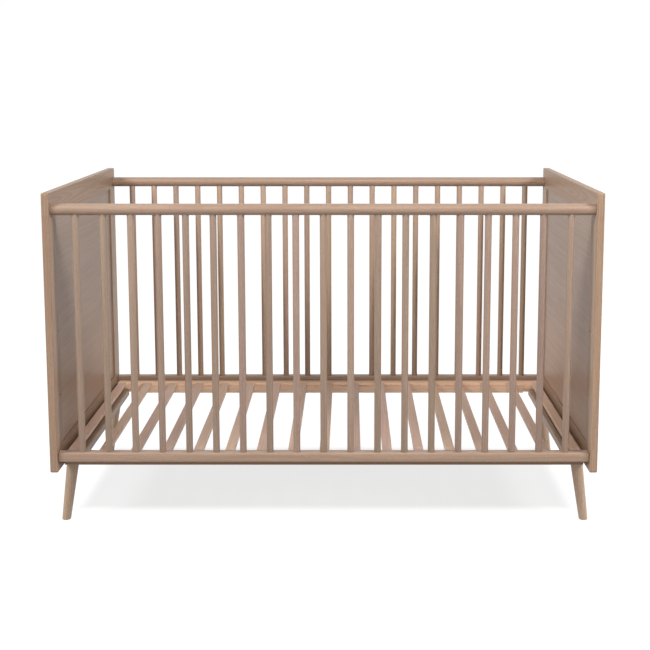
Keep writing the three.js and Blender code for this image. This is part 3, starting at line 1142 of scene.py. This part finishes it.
@dataclass(frozen=True)
class SpindleSide:
    """One long side: a round top rail, a squared bottom rail and the spindles between them.

    Attributes:
        side: which side it is.
        top_ends: how the top rail's ends are rounded.
        bottom_edges: how the bottom rail's long edges are.
        bottom_ends: how the bottom rail's ends are.
        spindle_ends: how a spindle's ends are.
        heart_offset: distance from a rail's middle to the middle of its growth rings.
        spindle_heart: from the crib's middle, along it, to the middle of the spindles' growth rings.
        rail_facets: faces round the top rail.
        spindle_facets: faces round a spindle.
    """

    side: Side
    top_ends: Rounding = Rounding(4 * MM, 6)
    bottom_edges: Rounding = Rounding(9 * MM, 8)
    bottom_ends: Rounding = Rounding(4 * MM, 4)
    spindle_ends: Rounding = Rounding(1 * MM, 2)
    heart_offset: float = 40 * MM
    spindle_heart: float = 31 * MM
    rail_facets: int = 64
    spindle_facets: int = 40

    def build(self) -> None:
        """Builds the two rails and the spindles."""
        label = self.side.label
        self.build_rail(f"{label}_top_rail", self.top_rail_shape)
        self.build_rail(f"{label}_bottom_rail", self.bottom_rail_shape)
        nodes = sorted(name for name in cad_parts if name.startswith(f"{label}_spindle_"))
        first, second = centre_of(nodes[0]), centre_of(nodes[1])
        spacing = (second.x - first.x, abs(first.y), WIDE)
        run = GrainRun(Grain.UPRIGHT, Vector((self.spindle_heart, 0.0, 0.0)), spacing)
        material = SPINDLE_OAK[self.side].material(f"{label}_spindle_oak", run)
        for node in nodes:
            self.build_spindle(node, material)

    def build_rail(self, node: str, shape: Callable[[Vector], Mesh]) -> None:
        """Builds one rail in place of its frame node.

        Args:
            node: the rail's frame node.
            shape: makes the rail about the origin at a given size.
        """
        middle = centre_of(node)
        heart = middle + Vector((0, -self.side.value, -1)) * self.heart_offset
        material = RAIL_OAK.material(f"{node}_oak", GrainRun(Grain.LENGTHWISE, heart))
        mount(moved(shape(size_of(node)), middle), f"{node}_turned", material, CRIB, node)

    def top_rail_shape(self, size: Vector) -> Mesh:
        """Makes the round rail along X about the origin, at a given size."""
        mesh = turned_bar(size.z, size.x, self.top_ends, self.rail_facets)
        return moved(mesh, Vector(), Matrix.Rotation(math.radians(90), 4, "Y"))

    def bottom_rail_shape(self, size: Vector) -> Mesh:
        """Makes the squared rail with rounded edges along X about the origin.

        Args:
            size: its length, width and height.

        Returns:
            The new shape.
        """
        mesh = bmesh.new()
        bmesh.ops.create_cube(mesh, size=1.0, matrix=Matrix.Diagonal((*size, 1.0)))
        at_ends = set(edges_at_ends(mesh, 0, size.x / 2))
        self.bottom_edges.on(mesh, [edge for edge in mesh.edges if edge not in at_ends])
        self.bottom_ends.on(mesh, edges_at_ends(mesh, 0, size.x / 2))
        return mesh

    def build_spindle(self, node: str, material: Material) -> None:
        """Builds one spindle in place of its frame node.

        Args:
            node: the frame node.
            material: its finish.
        """
        size = size_of(node)
        mesh = turned_bar(size.y, size.z, self.spindle_ends, self.spindle_facets)
        mount(moved(mesh, centre_of(node)), f"{node}_turned", material, CRIB, node)


# ---------------------------------------------------------------- legs


@dataclass(frozen=True)
class LegPair:
    """The leg board at one end and its two legs.

    Attributes:
        end: which end it is.
        tone: of its timber, from 0, the darkest, to 1.
        top_diameter: of a leg, where it meets the board.
        foot_diameter: of a leg, at the floor.
        splay: outward lean of a leg, in degrees.
        sole: how the foot's edge is rounded.
        facets: faces round a leg.
        board_heart: depth of the growth rings' middle under the board's.
        leg_heart: distance of the same from the crib's middle line, across it, for the legs.
        screw: the screws that hold the board to the end frame.
        screw_places: distance of the screws from the middle, across the crib.
        screw_length: of a screw's shank.
    """

    end: End
    tone: float
    top_diameter: float = 34 * MM
    foot_diameter: float = 24 * MM
    splay: float = 8.0
    sole: Rounding = Rounding(2.5 * MM, 5)
    facets: int = 56
    board_heart: float = 30 * MM
    leg_heart: float = 20 * MM
    screw: SocketBolt = SocketBolt(
        head_diameter=9 * MM, head_height=0.6 * MM, rim=Rounding(0.25 * MM, 4), key_width=4 * MM,
        key_depth=0.5 * MM, shank_diameter=4.5 * MM, facets=32,
    )
    screw_places: tuple[float, ...] = (-195 * MM, -65 * MM, 65 * MM, 195 * MM)
    screw_length: float = 34 * MM

    def build(self) -> None:
        """Dresses the board and builds the legs and screws."""
        label = self.end.label
        board = f"{label}_leg_board"
        heart = centre_of(board) - Vector((0, 0, self.board_heart))
        across = GrainRun(Grain.CROSSWISE, heart, tone=self.tone)
        dress(board, FRAME_OAK.material(f"{board}_oak", across))
        upright = GrainRun(Grain.UPRIGHT, Vector((0.0, self.leg_heart, 0.0)), tone=self.tone)
        material = LEG_OAK.material(f"{label}_leg_oak", upright)
        for side in Side:
            node = f"{side.label}_{label}_leg"
            mount(self.leg_shape(node, board), f"{node}_turned", material, CRIB, node)
        self.add_screws(board, STEEL.material(f"{label}_screw_steel"))

    def leg_shape(self, node: str, board: str) -> Mesh:
        """Makes a tapered, splayed leg, cut level at the floor and under the board and the end frame.

        Args:
            node: the leg's frame node.
            board: the leg board's frame node.

        Returns:
            The new shape, in its place.
        """
        lean = math.radians(self.splay)
        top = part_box(board)[0].z - JOINT_GAP
        slant = top / math.cos(lean)
        spare = self.top_diameter / 2
        taper = (self.top_diameter - self.foot_diameter) / 2 / slant
        inset = self.foot_diameter / 2 / math.cos(lean)
        foot = Vector((self.end.outer_face(node) - self.end.value * inset, centre_of(node).y, 0))
        mesh = bmesh.new()
        bmesh.ops.create_cone(
            mesh, cap_ends=True, segments=self.facets, radius1=self.foot_diameter / 2 - taper * spare,
            radius2=self.top_diameter / 2 + taper * spare, depth=slant + 2 * spare,
        )
        bmesh.ops.translate(mesh, verts=mesh.verts, vec=(0, 0, slant / 2))
        moved(mesh, foot, Matrix.Rotation(-self.end.value * lean, 4, "Y"))
        self.cut_level(mesh, 0.0, -1)
        self.cut_level(mesh, top, 1)
        self.sole.on(mesh, [edge for edge in mesh.edges if all(vert.co.z < IN_PLANE for vert in edge.verts)])
        return mesh

    @staticmethod
    def cut_level(mesh: Mesh, height: float, away: int) -> None:
        """Cuts a shape level and closes the cut.

        Args:
            mesh: the shape.
            height: of the cut.
            away: 1 to take off what is above it, -1 for what is below.
        """
        cut = bmesh.ops.bisect_plane(
            mesh, geom=mesh.verts[:] + mesh.edges[:] + mesh.faces[:], dist=MERGE,
            plane_co=(0, 0, height), plane_no=(0, 0, away), clear_outer=True,
        )["geom_cut"]
        bmesh.ops.edgeloop_fill(mesh, edges=edges_in(cut))

    def add_screws(self, board: str, steel: Material) -> None:
        """Adds the screws through the end frame into the leg board's outer edge.

        Args:
            board: the leg board's frame node.
            steel: what they are made of.
        """
        outer = self.end.outer_face(f"{self.end.label}_end_bottom_rail")
        height = centre_of(board).z
        for number, across in enumerate(self.screw_places, start=1):
            screw = self.screw.shape(self.screw_length)
            moved(screw, Vector((outer, across, height)), self.end.outward())
            mount(screw, f"{board}_screw_{number}", steel, CRIB)


# ---------------------------------------------------------------- mattress base


@dataclass(frozen=True)
class MattressBase:
    """The slatted base, with the bolts and spacers that hold it between the end frames.

    Attributes:
        ledger_width: of the ledgers under the slats' ends.
        rail_thickness: of the long base rails.
        rail_ease: of their edges, and how far the painted shade on their outer faces reaches.
        rail_tone: of the rails, from 0, the darkest board, to 1.
        heart_depth: of the growth rings' middle under the base.
        slat_width: of a slat.
        slat_thickness: of a slat.
        slat_count: slats, with the two that close the ends of the frame.
        bolt: the bolts through the end frames.
        bolt_reach: length of a bolt's shank inside the base rail.
        bolt_play: between the end frames and the bolts' heads.
        spacer_diameter: of the nylon spacers round the bolts.
        spacer_hole: of the spacers.
        spacer_rim: how the spacers' rims are broken.
        spacer_facets: faces round a spacer.
    """

    ledger_width: float = 10 * MM
    rail_thickness: float = 27 * MM
    rail_ease: float = 2.5 * MM
    rail_tone: float = 0.99
    heart_depth: float = 180 * MM
    slat_width: float = 26 * MM
    slat_thickness: float = 10 * MM
    slat_count: int = 17
    bolt: SocketBolt = SocketBolt()
    bolt_reach: float = 30 * MM
    bolt_play: float = 0.1 * MM
    spacer_diameter: float = 15 * MM
    spacer_hole: float = 6.6 * MM
    spacer_rim: Rounding = Rounding(0.3 * MM, 2)
    spacer_facets: int = 40

    def build(self) -> None:
        """Dresses the frame and the slats and adds the fastenings."""
        low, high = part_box("base_frame")
        inner = high.y - self.rail_thickness - JOINT_GAP
        under = Vector((0.0, 0.0, low.z - self.heart_depth))
        along = GrainRun(Grain.LENGTHWISE, under, tone=self.rail_tone)
        pitch = (high.x - low.x - self.slat_width) / (self.slat_count - 1)
        across = GrainRun(Grain.CROSSWISE, under, (pitch, WIDE, WIDE))
        rails = Inlay(Zone(beyond=inner), along, BASE_TIMBER)
        # the long rails' outer faces are darkened: painted shade for the shadow behind the bottom rails
        painted_shade_faces = Stain(Zone(beyond=high.y - self.rail_ease))
        dress("base_frame", SLAT_TIMBER.material("base_frame_timber", across, rails, painted_shade_faces))
        slat_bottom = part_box("slat_deck")[1].z - self.slat_thickness
        beside_rails = Zone(beyond=inner - self.ledger_width - JOINT_GAP, below=slat_bottom)
        ledgers = Inlay(beside_rails, along, BASE_TIMBER)
        dress("slat_deck", SLAT_TIMBER.material("slat_timber", across, ledgers))
        corner = Vector((high.x, high.y - self.rail_thickness / 2, (low.z + high.z) / 2))
        self.add_fastenings(corner)

    def add_fastenings(self, corner: Vector) -> None:
        """Adds a bolt and a spacer at each corner of the base.

        Args:
            corner: where a bolt enters the end of the base at its rear right corner.
        """
        steel = STEEL.material("base_bolt_steel")
        nylon = NYLON.material("spacer_nylon")
        for end in End:
            inner, outer = sorted((side.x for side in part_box(f"{end.label}_end_front_stile")), key=abs)
            gap = abs(inner) - corner.x
            for side in Side:
                label = f"{side.label}_{end.label}"
                across = side.value * corner.y
                bolt = self.bolt.shape(abs(outer) - corner.x + self.bolt_reach)
                moved(bolt, Vector((outer + end.value * self.bolt_play, across, corner.z)), end.outward())
                mount(bolt, f"{label}_base_bolt", steel, BASE)
                spacer = tube(
                    self.spacer_diameter, self.spacer_hole, gap - 2 * JOINT_GAP, self.spacer_rim,
                    self.spacer_facets,
                )
                moved(spacer, Vector((end.value * (corner.x + gap / 2), across, corner.z)), end.outward())
                mount(spacer, f"{label}_base_spacer", nylon, BASE)


# ---------------------------------------------------------------- studio


@dataclass(frozen=True)
class SoftLight:
    """A square softbox.

    Attributes:
        name: its name.
        place: where it hangs.
        size: length of its sides.
        power: in watts.
        target: the point it looks at.
    """

    name: str
    place: tuple[float, float, float]
    size: float
    power: float
    target: tuple[float, float, float] = (0.0, 0.0, 0.5)

    def add(self) -> None:
        """Hangs the light."""
        data = bpy.data.lights.new(self.name, "AREA")
        data.shape = "SQUARE"
        data.size = self.size
        data.energy = self.power
        lamp = show(self.name, data)
        lamp.location = self.place
        lamp.rotation_euler = (Vector(self.target) - Vector(self.place)).to_track_quat("-Z", "Y").to_euler()


@dataclass(frozen=True)
class Studio:
    """A white sweep with soft light and the camera.

    Attributes:
        lights: the softboxes.
        fill: strength of the light from all round, near the horizon and from above.
        fill_heights: sine of the elevations between which the one turns into the other.
        floor_size: length of the floor's sides.
        floor_glow: the share of the floor's white that no shadow darkens.
        shade_glow: the same inside the painted shadow under the crib, where the glow is lowered.
        shade_middle: of the painted shadow on the floor, along and across the crib.
        shade_reach: half the size of the painted shadow, along and across the crib.
        shade_edge: width of the painted shadow's soft edge.
        floor_reply: the share of the floor's white that shadows darken.
        floor_bounce: how much of the light on the floor goes back to the crib.
        camera_place: where the camera stands.
        camera_tilt: how far it looks down, in degrees.
        camera_lens: focal length, in millimetres.
        camera_frame: width of the camera's frame, in millimetres.
        camera_shift: of the frame, across and up.
    """

    lights: tuple[SoftLight, ...] = (
        SoftLight("left_softbox", (-3.2, -1.6, 2.7), 0.9, 113.0),
        SoftLight("right_softbox", (3.2, -1.6, 2.7), 0.9, 113.0),
        SoftLight("front_softbox", (0.0, -3.4, 3.1), 2.2, 77.0),
    )
    fill: Span = (0.58, 0.1)
    fill_heights: Span = (0.1, 0.6)
    floor_size: float = 60.0
    floor_glow: float = 1.0
    shade_glow: float = 0.75
    shade_middle: tuple[float, float] = (0.0, 0.045)
    shade_reach: tuple[float, float] = (0.7, 0.25)
    shade_edge: float = 0.07
    floor_reply: float = 0.15
    floor_bounce: float = 0.35
    camera_place: tuple[float, float, float] = (0.067, -3.131, 1.215)
    camera_tilt: float = 7.1
    camera_lens: float = 59.6
    camera_frame: float = 36.0
    camera_shift: tuple[float, float] = (-0.037, -0.175)

    def build(self) -> None:
        """Adds the lights, the surroundings, the floor and the camera."""
        for light in self.lights:
            light.add()
        self.light_world()
        self.lay_floor()
        self.place_camera()
        bpy.context.scene.view_settings.view_transform = "Standard"

    @staticmethod
    def part_rays(graph: Graph, lighting: Node, seen: Node, output: str) -> None:
        """Shows one shader to the camera, also by way of metal or glass, and another to other rays.

        Args:
            graph: the graph of a material or a world.
            lighting: the shader that lights the crib.
            seen: the shader that the camera sees.
            output: the type of the graph's output node.
        """
        path = graph.add("ShaderNodeLightPath").outputs
        mirrored = graph.math("ADD", path["Is Glossy Ray"], path["Is Transmission Ray"], clamp=True)
        direct = graph.math("ADD", path["Is Camera Ray"], mirrored, clamp=True)
        mix = graph.add("ShaderNodeMixShader", {0: direct, 1: lighting.outputs[0], 2: seen.outputs[0]})
        graph.add(output, {"Surface": mix.outputs[0]})

    def light_world(self) -> None:
        """Surrounds the crib with a soft light, strongest from the sides, that looks white."""
        world = bpy.data.worlds.new("white_room")
        world.use_nodes = True
        world.node_tree.nodes.clear()
        graph = Graph(world.node_tree)
        _, _, rise = graph.split(graph.place())
        strength = graph.remap(rise, self.fill_heights, self.fill)
        even = graph.add("ShaderNodeBackground", {"Color": WHITE, "Strength": strength})
        white = graph.add("ShaderNodeBackground", {"Color": WHITE})
        self.part_rays(graph, even, white, "ShaderNodeOutputWorld")
        bpy.context.scene.world = world

    def lay_floor(self) -> None:
        """Lays a floor that looks white, keeps the crib's real soft shadow and has a painted shadow under it.
        """
        mesh = bmesh.new()
        bmesh.ops.create_grid(mesh, x_segments=2, y_segments=2, size=self.floor_size / 2)
        data = bpy.data.meshes.new("floor")
        mesh.to_mesh(data)
        mesh.free()
        data.materials.append(self.floor_material())
        show("floor", data)

    def floor_material(self) -> Material:
        """Makes the white of the floor, with a painted shadow under the crib where its glow is lower.

        Returns:
            The new material.
        """
        material = bpy.data.materials.new("white_floor")
        material.use_nodes = True
        material.node_tree.nodes.clear()
        graph = Graph(material.node_tree)
        # distance past the painted shadow's rectangle, along and across the crib
        past = [
            graph.math("SUBTRACT", graph.math("ABSOLUTE", graph.math("SUBTRACT", place, middle)), reach)
            for place, middle, reach in zip(graph.split(graph.place()), self.shade_middle, self.shade_reach)
        ]
        edge = (-self.shade_edge / 2, self.shade_edge / 2)
        share = graph.remap(graph.math("MAXIMUM", *past), edge, (self.shade_glow, self.floor_glow))
        # the glow is lowered inside the rectangle: a painted shadow
        glow = graph.add("ShaderNodeEmission", {"Strength": share})
        matt = graph.add("ShaderNodeBsdfDiffuse", {"Color": grey(self.floor_reply)})
        shown = graph.add("ShaderNodeAddShader", {0: glow.outputs[0], 1: matt.outputs[0]})
        bounce = graph.add("ShaderNodeBsdfDiffuse", {"Color": grey(self.floor_bounce)})
        self.part_rays(graph, bounce, shown, "ShaderNodeOutputMaterial")
        return material

    def place_camera(self) -> None:
        """Stands the camera in front of the crib, a little above its top."""
        data = bpy.data.cameras.new("camera")
        data.sensor_width = self.camera_frame
        data.lens = self.camera_lens
        data.shift_x, data.shift_y = self.camera_shift
        camera = show("camera", data)
        camera.location = self.camera_place
        camera.rotation_euler = (math.radians(90 - self.camera_tilt), 0.0, 0.0)
        bpy.context.scene.camera = camera


# ---------------------------------------------------------------- main


def main() -> None:
    """Builds the crib's pieces and the studio round them."""
    tones = {End.LEFT: 0.35, End.RIGHT: 0.85}
    parts = [EndFrame(end, tone) for end, tone in tones.items()]
    parts += [SpindleSide(side) for side in Side]
    parts += [LegPair(end, tone) for end, tone in tones.items()] + [MattressBase()]
    for part in parts:
        part.build()
    Studio().build()


if __name__ == "__main__":
    logging.basicConfig(level=logging.INFO, format="%(name)s: %(message)s")
    main()
